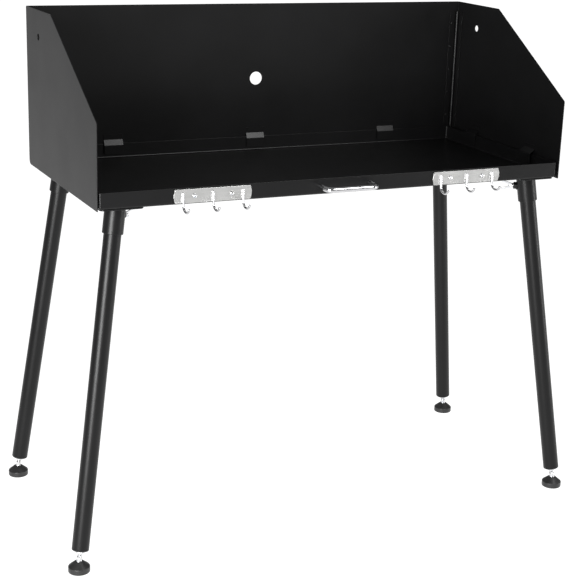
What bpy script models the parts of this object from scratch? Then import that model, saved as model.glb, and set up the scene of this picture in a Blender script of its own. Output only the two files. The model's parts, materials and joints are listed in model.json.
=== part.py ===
"""Camp cooking table: a shallow steel tray on four splayed plug-in legs, with a three-sided windscreen.

Metres, +Z up, the floor at Z = 0, the front (handle and hooks) towards -Y.
"""

import math

import bmesh
import bpy
from mathutils import Matrix, Vector

# Windscreen: a back panel and two wings, hinged at the back corners
SCREEN_WIDTH = 0.965
SCREEN_DEPTH = 0.428
SCREEN_HEIGHT = 0.307
SCREEN_BOTTOM = 0.668
SCREEN_SHEET = 0.0015
WING_TOP = 0.165
WING_FRONT_HEIGHT = 0.154
WING_TOE_IN = math.radians(1.0)
WING_CORNER_RADIUS = 0.004
WING_HEEL_RADIUS = 0.010
WING_HOLE_RADIUS = 0.0065
WING_HOLE_DROP = 0.050
BACK_HOLE_RADIUS = 0.0135

# Clips welded inside the panels, which hook over the tray's rims; a bend is its (height, fall, reach inwards)
CLIP_WIDTH = 0.040
CLIP_SHEET = 0.0012
CLIP_TOP = 0.0505
CLIP_BOTTOM = 0.0105
CLIP_WELD_SINK = 0.0001
BACK_CLIP_BEND = (0.0395, 0.0110, 0.0050)
BACK_CLIP_PITCH = 0.311
WING_CLIP_BEND = (0.0425, 0.0085, 0.0106)
WING_CLIP_OFFSET = 0.108

# Piano hinge in each back corner
HINGE_BOTTOM = 0.033
HINGE_LENGTH = 0.2525
HINGE_KNUCKLES = 5
HINGE_RADIUS = 0.003
HINGE_BORE = 0.0016
HINGE_PIN_RADIUS = 0.0013
HINGE_LEAF_WIDTH = 0.017
HINGE_LEAF_INNER = 0.0019
HINGE_LEAF_OUTER = 0.0029
HINGE_KNUCKLE_GAP = 0.0004

# Tray
TRAY_WIDTH = 0.942
TRAY_DEPTH = 0.422
TRAY_BOTTOM = 0.670
TRAY_SHEET = 0.0012
RIM_HEIGHT = 0.030
FOLD_RADIUS = 0.0025

# Legs: each axis runs from the tray's underside to the ball of its foot
LEG_TOP_X = 0.4277
LEG_TOP_Y = 0.1688
FOOT_X = 0.5190
FOOT_Y = 0.2260
BALL_HEIGHT = 0.019
SOCKET_LENGTH = 0.053
SOCKET_RADIUS = 0.019
SOCKET_BORE = 0.01625
PLATE_SIZE = 0.080
PLATE_THICKNESS = 0.0025
PLATE_CORNER = 0.008
LEG_RADIUS = 0.0159
LEG_WALL = 0.0015
LEG_START = 0.007
LEG_END = 0.6341

# End plug, lock nut, levelling stud and pad
PLUG_CAP = 0.0026
PLUG_EDGE = 0.0012
PLUG_INSERT = 0.018
NUT_FLATS = 0.013
NUT_HEIGHT = 0.0065
NUT_CHAMFER = 0.0008
STUD_RADIUS = 0.004
STUD_BORE = 0.0043
STUD_LENGTH = 0.055
STUD_CHAMFER = 0.0008
COLLAR_RADIUS = 0.005
COLLAR_HEIGHT = 0.0095
BALL_RADIUS = 0.006
PAD_RADIUS = 0.020
PAD_RIM = 0.0105
PAD_HEIGHT = 0.0212
PAD_LIP_RADIUS = 0.0068
PAD_EDGE = 0.0012
PAD_CAVITY = 0.0063

# Wing bolt, measured outwards from the leg's axis
BOLT_DROP = 0.0235
BOSS_RADIUS = 0.007
BOSS_FACE = 0.026
BOLT_RADIUS = 0.003
BOLT_BORE = 0.0033
BOLT_TIP = 0.0169
BOLT_HUB_RADIUS = 0.0048
BOLT_HUB_END = 0.0355
BOLT_HUB_DOME = 0.0019
BOLT_EAR_THICKNESS = 0.0024
BOLT_EAR_FOOT = 0.0062
BOLT_EAR_THROAT = 0.0034
BOLT_EAR_REACH = 0.0115
BOLT_EAR_TOP = 0.0475
BOLT_EAR_TIP_RADIUS = 0.0028
BOLT_TURNS = {"front_left": 130.0, "front_right": 50.0, "back_left": 110.0, "back_right": 70.0}

# Hook rails on the front rim
RAIL_CENTRE = 0.2615
RAIL_LENGTH = 0.148
RAIL_HEIGHT = 0.025
RAIL_THICKNESS = 0.0015
RAIL_SAGITTA = 0.0026
RAIL_SCREW_PITCH = 0.071
HOOK_PITCH = 0.057
HOOK_RADIUS = 0.0022
HOOK_TOP = 0.022
HOOK_BEND_START = 0.001
HOOK_DEPTH = 0.010
HOOK_OUTREACH = 0.028

# Wire handle
HANDLE_CENTRES = 0.102
HANDLE_RADIUS = 0.005
HANDLE_OUTREACH = 0.0350
HANDLE_RAISE = 0.0023
HANDLE_DROOP = 0.0023
HANDLE_BEND = 0.012
HANDLE_HOLE_DEPTH = 0.012

# Screws
SCREW_RADIUS = 0.0018
SCREW_HEAD_RADIUS = 0.004
SCREW_HEAD_FLAT = 0.0024
SCREW_HEAD_HEIGHT = 0.0022
SCREW_HEAD_EDGE = 0.001
RAIL_SCREW_LENGTH = 0.0075
HANDLE_SCREW_LENGTH = 0.0095

GAP = 0.0003
MERGE = 0.00001
ROUND_SIDES = 24
SMALL_SIDES = 16
WIRE_SIDES = 2
ARC_STEPS = 6
BEND_STEPS = 4

# Worked out from the driving dimensions
HALF_WIDTH = SCREEN_WIDTH / 2
HALF_DEPTH = SCREEN_DEPTH / 2
BACK_INNER = HALF_DEPTH - SCREEN_SHEET
WING_INNER = HALF_WIDTH - SCREEN_SHEET
HINGE_X = WING_INNER - HINGE_RADIUS - GAP
HINGE_Y = BACK_INNER - HINGE_RADIUS - GAP
RIM_FACE = -TRAY_DEPTH / 2
RIM_MIDDLE = TRAY_BOTTOM + RIM_HEIGHT / 2
RAIL_FRONT = RIM_FACE - GAP - RAIL_THICKNESS
HANDLE_FRONT = RIM_FACE - HANDLE_OUTREACH - HANDLE_RADIUS
DEPTH_SHIFT = -(HANDLE_FRONT + FOOT_Y + PAD_RADIUS) / 2
CORNERS = {"front_left": (-1, -1), "front_right": (1, -1), "back_left": (-1, 1), "back_right": (1, 1)}
SIDES = {"left": -1, "right": 1}

# Local X, Y, Z of a flat outline become world Y, Z, X on a wing, and world X, Z, -Y on the front rim
ON_WING = Matrix(((0, 0, 1), (1, 0, 0), (0, 1, 0))).to_4x4()
FACING_FRONT = Matrix.Rotation(math.radians(90), 4, "X")


# ---------------------------------------------------------------- tools

def clear_scene():
    for thing in list(bpy.data.objects):
        bpy.data.objects.remove(thing, do_unlink=True)


def new_collection(name):
    collection = bpy.data.collections.new(name)
    bpy.context.scene.collection.children.link(collection)
    return collection


def new_material(name, colour, roughness, metallic):
    material = bpy.data.materials.new(name)
    material.use_nodes = True
    shader = material.node_tree.nodes["Principled BSDF"]
    shader.inputs["Base Color"].default_value = (*colour, 1.0)
    shader.inputs["Roughness"].default_value = roughness
    shader.inputs["Metallic"].default_value = metallic
    return material


def place(thing, parent, matrix=None):
    """Parents an object, with matrix as its place in its parent's frame."""
    thing.parent = parent
    thing.matrix_local = matrix if matrix is not None else Matrix.Identity(4)


def add_empty(name, parent, matrix):
    empty = bpy.data.objects.new(name, None)
    PIECES.objects.link(empty)
    place(empty, parent, matrix)
    return empty


def add_piece(name, data, material, parent, matrix=None):
    thing = bpy.data.objects.new(name, data)
    data.materials.clear()
    data.materials.append(material)
    PIECES.objects.link(thing)
    place(thing, parent, matrix)
    return thing


def add_tool(name, data, parent, matrix=None):
    """A shape that only cuts or joins another: it is never a piece of its own."""
    thing = bpy.data.objects.new(name, data)
    thing.hide_render = True
    thing.display_type = "WIRE"
    TOOLS.objects.link(thing)
    place(thing, parent, matrix)
    return thing


def combine(piece, tool, operation):
    boolean = piece.modifiers.new(tool.name, "BOOLEAN")
    boolean.operation = operation
    boolean.solver = "EXACT"
    boolean.object = tool


def mesh_from(bm, name):
    mesh = bpy.data.meshes.new(name)
    bm.to_mesh(mesh)
    bm.free()
    return mesh


def box_into(bm, low, high):
    low, high = Vector(low), Vector(high)
    size = high - low
    matrix = Matrix.Translation((low + high) / 2) @ Matrix.Diagonal((*size, 1.0))
    bmesh.ops.create_cube(bm, size=1.0, matrix=matrix)


def boxes(name, *corners):
    """One mesh of separate boxes, each given as its lowest and highest corner."""
    bm = bmesh.new()
    for low, high in corners:
        box_into(bm, low, high)
    return mesh_from(bm, name)


def rods_into(bm, radius, start, end, axis, places, sides):
    """Round rods of one radius, from start to end along axis, one through each place."""
    turn = {"X": Matrix.Rotation(math.radians(90), 4, "Y"), "Y": Matrix.Rotation(math.radians(-90), 4, "X")}
    for spot in places:
        shift = Matrix.Translation(spot) @ turn.get(axis, Matrix.Identity(4))
        shift = shift @ Matrix.Translation((0, 0, (start + end) / 2))
        bmesh.ops.create_cone(
            bm, cap_ends=True, segments=sides, radius1=radius, radius2=radius, depth=end - start, matrix=shift
        )


def rods(name, radius, start, end, axis, places, sides=SMALL_SIDES):
    bm = bmesh.new()
    rods_into(bm, radius, start, end, axis, places, sides)
    return mesh_from(bm, name)


def turned_mesh(name, profile, ring):
    """The half section of a turned piece, (radius, height) points down its outer side."""
    mesh = bpy.data.meshes.new(name)
    count = len(profile)
    edges = [(i, i + 1) for i in range(count - 1)]
    if ring:
        edges.append((count - 1, 0))
    mesh.from_pydata([(radius, 0.0, height) for radius, height in profile], edges, [])
    return mesh


def turn(thing, sides):
    screw = thing.modifiers.new("turn", "SCREW")
    screw.axis = "Z"
    screw.steps = sides
    screw.render_steps = sides
    screw.use_merge_vertices = True
    screw.merge_threshold = MERGE
    screw.use_smooth_shade = True


def add_turned(name, profile, material, parent, matrix=None, ring=False, sides=ROUND_SIDES):
    thing = add_piece(name, turned_mesh(name, profile, ring), material, parent, matrix)
    turn(thing, sides)
    return thing


def arc(centre, radius, start, end, steps):
    """Points on an arc between two angles in degrees, both ends included."""
    points = []
    for step in range(steps + 1):
        angle = math.radians(start + (end - start) * step / steps)
        points.append((centre[0] + radius * math.cos(angle), centre[1] + radius * math.sin(angle)))
    return points


def rounded(corners, steps):
    """An outline with each (x, y, radius) corner replaced by its fillet arc."""
    outline = []
    count = len(corners)
    for index, (x, y, radius) in enumerate(corners):
        corner = Vector((x, y))
        before = (Vector(corners[index - 1][:2]) - corner).normalized()
        after = (Vector(corners[(index + 1) % count][:2]) - corner).normalized()
        if radius == 0:
            outline.append((x, y))
            continue
        half = before.angle(after) / 2
        middle = corner + (before + after).normalized() * (radius / math.sin(half))
        first = corner + before * (radius / math.tan(half)) - middle
        last = corner + after * (radius / math.tan(half)) - middle
        sweep = first.angle_signed(last)
        for step in range(steps + 1):
            outline.append(tuple(middle + Matrix.Rotation(-sweep * step / steps, 2) @ first))
    return outline


def flat_curve(name, thickness, *outlines):
    curve = bpy.data.curves.new(name, "CURVE")
    curve.dimensions = "2D"
    curve.fill_mode = "BOTH"
    curve.extrude = thickness / 2
    for outline in outlines:
        add_spline(curve, [(x, y, 0.0) for x, y in outline], cyclic=True)
    return curve


def wire_curve(name, path, radius, resolution):
    curve = bpy.data.curves.new(name, "CURVE")
    curve.dimensions = "3D"
    curve.bevel_depth = radius
    curve.bevel_resolution = resolution
    curve.use_fill_caps = True
    add_spline(curve, path, cyclic=False)
    return curve


def add_spline(curve, path, cyclic):
    spline = curve.splines.new("POLY")
    spline.points.add(len(path) - 1)
    for point, spot in zip(spline.points, path):
        point.co = (*spot, 1.0)
    spline.use_cyclic_u = cyclic


def solid_mesh(curve):
    """A curve's evaluated shape as a mesh with its caps welded on."""
    carrier = bpy.data.objects.new(curve.name, curve)
    TOOLS.objects.link(carrier)
    graph = bpy.context.evaluated_depsgraph_get()
    mesh = bpy.data.meshes.new_from_object(carrier.evaluated_get(graph))
    bpy.data.objects.remove(carrier, do_unlink=True)
    bm = bmesh.new()
    bm.from_mesh(mesh)
    bmesh.ops.remove_doubles(bm, verts=bm.verts, dist=MERGE)
    bmesh.ops.recalc_face_normals(bm, faces=bm.faces)
    bm.to_mesh(mesh)
    bm.free()
    return mesh


def smooth(thing):
    thing.data.shade_smooth()
    thing.data.set_sharp_from_angle(angle=math.radians(35))


# ---------------------------------------------------------------- tray

def build_tray():
    """One sheet folded into a shallow tray, with a rim on all four sides."""
    bm = bmesh.new()
    half = Vector((TRAY_WIDTH / 2, TRAY_DEPTH / 2))
    box_into(bm, (-half.x, -half.y, TRAY_BOTTOM), (half.x, half.y, TRAY_BOTTOM + RIM_HEIGHT))
    bm.normal_update()
    lid = [face for face in bm.faces if face.normal.z > 0.5]
    bmesh.ops.delete(bm, geom=lid, context="FACES_ONLY")
    folds = [edge for edge in bm.edges if not edge.is_boundary]
    bmesh.ops.bevel(bm, geom=folds, offset=FOLD_RADIUS, segments=2, profile=0.5, affect="EDGES")
    tray = add_piece("tray", mesh_from(bm, "tray"), BLACK, TABLE)
    sheet = tray.modifiers.new("sheet", "SOLIDIFY")
    sheet.thickness = TRAY_SHEET
    sheet.offset = -1.0
    sheet.use_even_offset = True

    holes = [(x, 0, RIM_MIDDLE) for x in rail_screw_places()]
    holes += [(side * HANDLE_CENTRES / 2, 0, RIM_MIDDLE + HANDLE_RAISE) for side in SIDES.values()]
    drill = rods("rim_drills", SCREW_RADIUS + GAP, RIM_FACE - RIM_HEIGHT, RIM_FACE + RIM_HEIGHT, "Y", holes)
    combine(tray, add_tool("rim_drills", drill, TABLE), "DIFFERENCE")


# ---------------------------------------------------------------- legs

def leg_frame(corner):
    """The frame of a leg: its origin on the tray's underside, its Z axis up along the leg."""
    x_sign, y_sign = CORNERS[corner]
    top = Vector((x_sign * LEG_TOP_X, y_sign * LEG_TOP_Y, TRAY_BOTTOM))
    ball = Vector((x_sign * FOOT_X, y_sign * FOOT_Y, BALL_HEIGHT))
    up = (top - ball).normalized()
    across = Vector((0, 0, 1)).cross(up).normalized()
    turn_matrix = Matrix((across, up.cross(across), up)).transposed().to_4x4()
    return Matrix.Translation(top) @ turn_matrix, (top - ball).length


def bolt_frame(corner):
    """The frame of a wing bolt: its origin on the leg's axis, its Z axis level, against the leg's splay."""
    frame = leg_frame(corner)[0]
    along = frame.to_3x3() @ Vector((0, 0, -1))
    origin = frame.translation + along * (BOLT_DROP / -along.z)
    out = Vector((-along.x, -along.y, 0)).normalized()
    across = Vector((0, 0, 1)).cross(out)
    turn_matrix = Matrix((across, out.cross(across), out)).transposed().to_4x4()
    return Matrix.Translation(origin) @ turn_matrix


def build_socket(corner):
    """A welded plate under the tray, and a sleeve with a threaded boss that takes the leg."""
    x_sign, y_sign = CORNERS[corner]
    half = PLATE_SIZE / 2
    corners = [(half, half, PLATE_CORNER), (-half, half, PLATE_CORNER)]
    corners += [(-half, -half, PLATE_CORNER), (half, -half, PLATE_CORNER)]
    plate_mesh = solid_mesh(flat_curve(f"socket_plate_{corner}", PLATE_THICKNESS, rounded(corners, 2)))
    middle = TRAY_BOTTOM - GAP - PLATE_THICKNESS / 2
    spot = Matrix.Translation((x_sign * LEG_TOP_X, y_sign * LEG_TOP_Y, middle))
    add_piece(f"socket_plate_{corner}", plate_mesh, BLACK, TABLE, spot)

    leg = LEG_FRAMES[corner]
    name = f"leg_socket_{corner}"
    reach = SOCKET_LENGTH / 2
    body = rods(name, SOCKET_RADIUS, -SOCKET_LENGTH, reach, "Z", [(0, 0, 0)], ROUND_SIDES)
    socket = add_piece(name, body, BLACK, leg)
    bolt = BOLT_FRAMES[corner]
    boss = rods(f"boss_{corner}", BOSS_RADIUS, SOCKET_BORE, BOSS_FACE, "Z", [(0, 0, 0)])
    combine(socket, add_tool(f"boss_{corner}", boss, bolt), "UNION")
    ceiling = TRAY_BOTTOM - PLATE_THICKNESS - 2 * GAP
    above = boxes(f"above_{corner}", ((-reach * 2, -reach * 2, 0), (reach * 2, reach * 2, reach * 2)))
    spot = Matrix.Translation((x_sign * LEG_TOP_X, y_sign * LEG_TOP_Y, ceiling))
    combine(socket, add_tool(f"above_{corner}", above, TABLE, spot), "DIFFERENCE")
    bore = rods(f"bore_{corner}", SOCKET_BORE, -SOCKET_LENGTH - reach, reach, "Z", [(0, 0, 0)], ROUND_SIDES)
    combine(socket, add_tool(f"bore_{corner}", bore, leg), "DIFFERENCE")
    thread = rods(f"thread_{corner}", BOLT_BORE, SOCKET_BORE / 2, BOSS_FACE + BOSS_RADIUS, "Z", [(0, 0, 0)])
    combine(socket, add_tool(f"thread_{corner}", thread, bolt), "DIFFERENCE")


def ear_outline(side):
    """One ear of the wing bolt, in (radius, distance) from the bolt's axis and the leg's."""
    root = BOSS_FACE + GAP + BOLT_EAR_TIP_RADIUS / 2
    tip = (BOLT_EAR_REACH, BOLT_EAR_TOP)
    points = [(0, root), (BOLT_EAR_FOOT, root)]
    points += arc(tip, BOLT_EAR_TIP_RADIUS, -20, 190, ARC_STEPS)
    points += [(BOLT_EAR_THROAT, BOLT_HUB_END), (0, BOLT_HUB_END)]
    return [(side * radius, distance) for radius, distance in points]


def build_wing_bolt(corner):
    name = f"wing_bolt_{corner}"
    neck = BOSS_FACE + GAP
    crown = BOLT_HUB_RADIUS - BOLT_HUB_DOME
    profile = [(0, BOLT_HUB_END), (crown, BOLT_HUB_END), (BOLT_HUB_RADIUS, BOLT_HUB_END - BOLT_HUB_DOME)]
    profile += [(BOLT_HUB_RADIUS, neck), (BOLT_RADIUS, neck), (BOLT_RADIUS, BOLT_TIP), (0, BOLT_TIP)]
    frame = BOLT_FRAMES[corner]
    spin = Matrix.Rotation(math.radians(BOLT_TURNS[corner]), 4, "Z")
    bolt = add_turned(name, profile, ZINC, frame, spin, sides=SMALL_SIDES)
    for label, side in SIDES.items():
        ear = solid_mesh(flat_curve(f"ear_{label}_{corner}", BOLT_EAR_THICKNESS, ear_outline(side)))
        combine(bolt, add_tool(f"ear_{label}_{corner}", ear, frame, spin @ FACING_FRONT), "UNION")


def build_leg(corner):
    leg = LEG_FRAMES[corner]
    inside = LEG_RADIUS - LEG_WALL
    outline = [(LEG_RADIUS, -LEG_START), (LEG_RADIUS, -LEG_END), (inside, -LEG_END), (inside, -LEG_START)]
    add_turned(f"leg_tube_{corner}", outline, BLACK, leg, ring=True)

    cap = -LEG_END - GAP
    end = cap - PLUG_CAP
    insert = inside - GAP
    top = PLUG_INSERT - LEG_END
    outline = [(insert, top), (insert, cap), (LEG_RADIUS, cap), (LEG_RADIUS, end + PLUG_EDGE)]
    outline += [(LEG_RADIUS - PLUG_EDGE, end), (STUD_BORE, end), (STUD_BORE, top)]
    add_turned(f"leg_end_plug_{corner}", outline, PLASTIC, leg, ring=True)
    build_lock_nut(corner, leg, end - GAP)


def build_lock_nut(corner, leg, top):
    """A hexagon with its corners turned off at both faces and a clearance bore for the stud."""
    name = f"lock_nut_{corner}"
    across_corners = NUT_FLATS / math.cos(math.radians(30))
    body = rods(name, across_corners / 2, top - NUT_HEIGHT, top, "Z", [(0, 0, 0)], 6)
    nut = add_piece(name, body, ZINC, leg)
    bottom = top - NUT_HEIGHT
    widest = across_corners / 2 + NUT_CHAMFER
    narrow = NUT_FLATS - widest
    over = top + NUT_CHAMFER
    under = bottom - NUT_CHAMFER
    outline = [(narrow, over), (widest, top - NUT_CHAMFER), (widest, bottom + NUT_CHAMFER)]
    outline += [(narrow, under), (STUD_BORE, under), (STUD_BORE, over)]
    lathe = add_tool(f"lathe_{corner}", turned_mesh(f"lathe_{corner}", outline, True), leg)
    turn(lathe, ROUND_SIDES)
    combine(nut, lathe, "INTERSECT")


def build_foot(corner):
    """The levelling stud with its ball end, and the pad that swivels on the ball."""
    x_sign, y_sign = CORNERS[corner]
    leg = LEG_FRAMES[corner]
    ball = -LEG_LENGTH
    top = ball + STUD_LENGTH
    collar = ball + COLLAR_HEIGHT
    lift = math.degrees(math.acos(COLLAR_RADIUS / BALL_RADIUS))
    outline = [(0, top), (STUD_RADIUS - STUD_CHAMFER, top), (STUD_RADIUS, top - STUD_CHAMFER)]
    outline += [(STUD_RADIUS, collar + COLLAR_RADIUS - STUD_RADIUS), (COLLAR_RADIUS, collar)]
    outline += arc((0, ball), BALL_RADIUS, lift, -90, ARC_STEPS)
    add_turned(f"foot_stud_{corner}", outline, ZINC, leg, sides=SMALL_SIDES)

    mouth = math.degrees(math.asin((PAD_HEIGHT - BALL_HEIGHT) / PAD_CAVITY))
    outline = arc((0, BALL_HEIGHT), PAD_CAVITY, -90, mouth, ARC_STEPS)
    outline += [(PAD_LIP_RADIUS, PAD_HEIGHT), (PAD_RADIUS, PAD_RIM), (PAD_RADIUS, PAD_EDGE)]
    outline += [(PAD_RADIUS - PAD_EDGE, 0), (0, 0)]
    spot = Matrix.Translation((x_sign * FOOT_X, y_sign * FOOT_Y, 0))
    add_turned(f"foot_pad_{corner}", outline, PLASTIC, TABLE, spot)


# ---------------------------------------------------------------- windscreen

def clip_mesh(name, places, bend):
    """Bent strips, drawn on a panel lying in the X-Z plane whose inner side faces -Y."""
    bm = bmesh.new()
    shoulder, fall, reach = bend
    weld = CLIP_WELD_SINK - CLIP_SHEET / 2
    path = [(weld, CLIP_TOP), (weld, shoulder), (weld - reach, shoulder - fall), (weld - reach, CLIP_BOTTOM)]
    for x in places:
        near = [bm.verts.new((x - CLIP_WIDTH / 2, y, z)) for y, z in path]
        far = [bm.verts.new((x + CLIP_WIDTH / 2, y, z)) for y, z in path]
        for step in range(len(path) - 1):
            bm.faces.new((near[step], near[step + 1], far[step + 1], far[step]))
    return mesh_from(bm, name)


def add_clips(panel, name, places, bend, parent, matrix):
    """Welds the clips that hook over the tray's rim to a panel's inner side."""
    strips = add_tool(f"{name}_clips", clip_mesh(f"{name}_clips", places, bend), parent, matrix)
    sheet = strips.modifiers.new("sheet", "SOLIDIFY")
    sheet.thickness = CLIP_SHEET
    sheet.offset = 0.0
    sheet.use_even_offset = True
    combine(panel, strips, "UNION")


def build_back_panel():
    end = WING_INNER - GAP
    low = (-end, BACK_INNER, SCREEN_BOTTOM)
    high = (end, HALF_DEPTH, SCREEN_BOTTOM + SCREEN_HEIGHT)
    panel = add_piece("windscreen_back", boxes("windscreen_back", (low, high)), BLACK, TABLE)
    centre = [(0, 0, SCREEN_BOTTOM + SCREEN_HEIGHT / 2)]
    start, end = BACK_INNER - RIM_HEIGHT, HALF_DEPTH + RIM_HEIGHT
    punch = rods("back_punch", BACK_HOLE_RADIUS, start, end, "Y", centre, ROUND_SIDES)
    combine(panel, add_tool("back_punch", punch, TABLE), "DIFFERENCE")
    places = (-BACK_CLIP_PITCH, 0.0, BACK_CLIP_PITCH)
    foot = Matrix.Translation((0, BACK_INNER, SCREEN_BOTTOM))
    add_clips(panel, "back", places, BACK_CLIP_BEND, TABLE, foot)


def build_wing(label):
    """A wing of the windscreen, drawn square to the back panel and toed in about its hinge."""
    side = SIDES[label]
    pivot = WING_PIVOTS[label]
    unshift = Matrix.Translation(-pivot.matrix_local.translation)
    top = SCREEN_BOTTOM + SCREEN_HEIGHT
    front_top = SCREEN_BOTTOM + WING_FRONT_HEIGHT
    corners = [(HALF_DEPTH, SCREEN_BOTTOM, WING_HEEL_RADIUS), (HALF_DEPTH, top, 0)]
    corners += [(HALF_DEPTH - WING_TOP, top, WING_CORNER_RADIUS)]
    corners += [(-HALF_DEPTH, front_top, WING_CORNER_RADIUS), (-HALF_DEPTH, SCREEN_BOTTOM, 0)]
    name = f"windscreen_{label}"
    mesh = solid_mesh(flat_curve(name, SCREEN_SHEET, rounded(corners, 3)))
    middle = side * (WING_INNER + SCREEN_SHEET / 2)
    wing = add_piece(name, mesh, BLACK, pivot, unshift @ Matrix.Translation((middle, 0, 0)) @ ON_WING)
    hole = [(0, HALF_DEPTH - WING_TOP / 2, top - WING_HOLE_DROP)]
    start, end = sorted((side * (WING_INNER - RIM_HEIGHT), side * (HALF_WIDTH + RIM_HEIGHT)))
    punch = rods(f"{label}_punch", WING_HOLE_RADIUS, start, end, "X", hole)
    combine(wing, add_tool(f"{label}_punch", punch, pivot, unshift), "DIFFERENCE")
    places = (-WING_CLIP_OFFSET, WING_CLIP_OFFSET)
    quarter = Matrix.Rotation(math.radians(-90 * side), 4, "Z")
    spot = unshift @ Matrix.Translation((side * WING_INNER, 0, SCREEN_BOTTOM)) @ quarter
    add_clips(wing, label, places, WING_CLIP_BEND, pivot, spot)


def knuckle_spans(first):
    """The heights of every second knuckle of the hinge, beginning with the first or the second."""
    bottom = SCREEN_BOTTOM + HINGE_BOTTOM
    pitch = HINGE_LENGTH / HINGE_KNUCKLES
    gap = HINGE_KNUCKLE_GAP / 2
    starts = [bottom + index * pitch for index in range(first, HINGE_KNUCKLES, 2)]
    return [(start + gap, start + pitch - gap) for start in starts]


def build_leaf(name, first, turned, flip, parent):
    """A leaf drawn along +X from the pin, its flat on the flip side of it, then turned into its place."""
    bottom = SCREEN_BOTTOM + HINGE_BOTTOM
    top = bottom + HINGE_LENGTH
    clear = HINGE_RADIUS + HINGE_KNUCKLE_GAP
    near, far = sorted((flip * HINGE_LEAF_INNER, flip * HINGE_LEAF_OUTER))
    spin = Matrix.Rotation(math.radians(turned), 4, "Z")
    flat = boxes(name, ((clear, near, bottom), (HINGE_LEAF_WIDTH, far, top)))
    leaf = add_piece(name, flat, BLACK, parent, spin)
    for number, (low, high) in enumerate(knuckle_spans(first), start=1):
        tab = boxes(f"{name}_tab_{number}", ((0, near, low), (1.5 * clear, far, high)))
        combine(leaf, add_tool(f"{name}_tab_{number}", tab, parent, spin), "UNION")
        barrel = rods(f"{name}_barrel_{number}", HINGE_RADIUS, low, high, "Z", [(0, 0, 0)])
        combine(leaf, add_tool(f"{name}_barrel_{number}", barrel, parent, spin), "UNION")
    bore = rods(f"{name}_bore", HINGE_BORE, bottom - clear, top + clear, "Z", [(0, 0, 0)])
    combine(leaf, add_tool(f"{name}_bore", bore, parent, spin), "DIFFERENCE")


def build_hinge(label):
    """The piano hinge of one back corner: a leaf on the back panel, a leaf on the wing, and the pin."""
    side = SIDES[label]
    corner = Matrix.Translation((side * HINGE_X, HINGE_Y, 0))
    frame = add_empty(f"hinge_back_{label}", TABLE, corner)
    build_leaf(f"hinge_back_leaf_{label}", 0, 90 + 90 * side, -side, frame)
    build_leaf(f"hinge_wing_leaf_{label}", 1, -90, side, WING_PIVOTS[label])
    bottom = SCREEN_BOTTOM + HINGE_BOTTOM
    pin = rods(f"hinge_pin_{label}", HINGE_PIN_RADIUS, bottom, bottom + HINGE_LENGTH, "Z", [(0, 0, 0)])
    add_piece(f"hinge_pin_{label}", pin, ZINC, frame)


# ---------------------------------------------------------------- front rim

def rail_screw_places():
    return [side * RAIL_CENTRE + step * RAIL_SCREW_PITCH / 2 for side in SIDES.values() for step in (-1, 1)]


def rail_outline():
    """A long plate whose two short ends bulge as shallow arcs."""
    half = RAIL_LENGTH / 2
    rise = RAIL_HEIGHT / 2
    radius = (rise**2 + RAIL_SAGITTA**2) / (2 * RAIL_SAGITTA)
    angle = math.degrees(math.asin(rise / radius))
    right = arc((half - radius, 0), radius, -angle, angle, ARC_STEPS)
    left = [(-x, -y) for x, y in right]
    return right + left


def build_rail(label):
    side = SIDES[label]
    name = f"hook_rail_{label}"
    mesh = solid_mesh(flat_curve(name, RAIL_THICKNESS, rail_outline()))
    spot = Matrix.Translation((side * RAIL_CENTRE, RIM_FACE - GAP - RAIL_THICKNESS / 2, RIM_MIDDLE))
    rail = add_piece(name, mesh, STAINLESS, TABLE, spot @ FACING_FRONT)
    holes = [(step * RAIL_SCREW_PITCH / 2, 0, 0) for step in (-1, 1)]
    punch = rods(f"{name}_punch", SCREW_RADIUS + GAP, -RAIL_HEIGHT, RAIL_HEIGHT, "Z", holes)
    combine(rail, add_tool(f"{name}_punch", punch, TABLE, spot @ FACING_FRONT), "DIFFERENCE")
    for number, step in enumerate((-1, 0, 1), start=1):
        build_hook(f"hook_{label}_{number}", side * RAIL_CENTRE + step * HOOK_PITCH)


def build_hook(name, x):
    """A wire hook: straight down the rail's face, then a shallow curve outwards and up to its tip."""
    stem = RAIL_FRONT - GAP - HOOK_RADIUS
    bend = TRAY_BOTTOM - HOOK_BEND_START
    reach = HOOK_OUTREACH / 2
    path = [(x, stem, TRAY_BOTTOM + HOOK_TOP), (x, stem, (TRAY_BOTTOM + HOOK_TOP + bend) / 2)]
    turns = 2 * ARC_STEPS
    for step in range(turns + 1):
        angle = math.pi * step / turns
        path.append((x, stem - reach * (1 - math.cos(angle)), bend - HOOK_DEPTH * math.sin(angle)))
    mesh = solid_mesh(wire_curve(name, path, HOOK_RADIUS, WIRE_SIDES))
    smooth(add_piece(name, mesh, POLISHED, TABLE))


def build_handle():
    """A wire pull with two bends, drooping a little, and tapped at both ends."""
    half = HANDLE_CENTRES / 2
    corner = (half - HANDLE_BEND, HANDLE_OUTREACH - HANDLE_BEND)
    bend = arc(corner, HANDLE_BEND, 0, 90, BEND_STEPS)
    right = [(half, GAP), (half, corner[1] / 2)] + bend
    flat = right + [(-x, y) for x, y in reversed(right)]
    height = RIM_MIDDLE + HANDLE_RAISE
    slope = HANDLE_DROOP / HANDLE_OUTREACH
    path = [(x, RIM_FACE - out, height - slope * (out - GAP)) for x, out in flat]
    mesh = solid_mesh(wire_curve("handle", path, HANDLE_RADIUS, WIRE_SIDES + 1))
    handle = add_piece("handle", mesh, POLISHED, TABLE)
    places = [(side * half, 0, height) for side in SIDES.values()]
    start, end = RIM_FACE - HANDLE_HOLE_DEPTH, RIM_FACE + RIM_HEIGHT
    tap = rods("handle_tap", SCREW_RADIUS + GAP, start, end, "Y", places)
    combine(handle, add_tool("handle_tap", tap, TABLE), "DIFFERENCE")
    for label, side in SIDES.items():
        inner = RIM_FACE + TRAY_SHEET + GAP
        build_screw(f"handle_screw_{label}", (side * half, inner, height), 1, HANDLE_SCREW_LENGTH)


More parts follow.
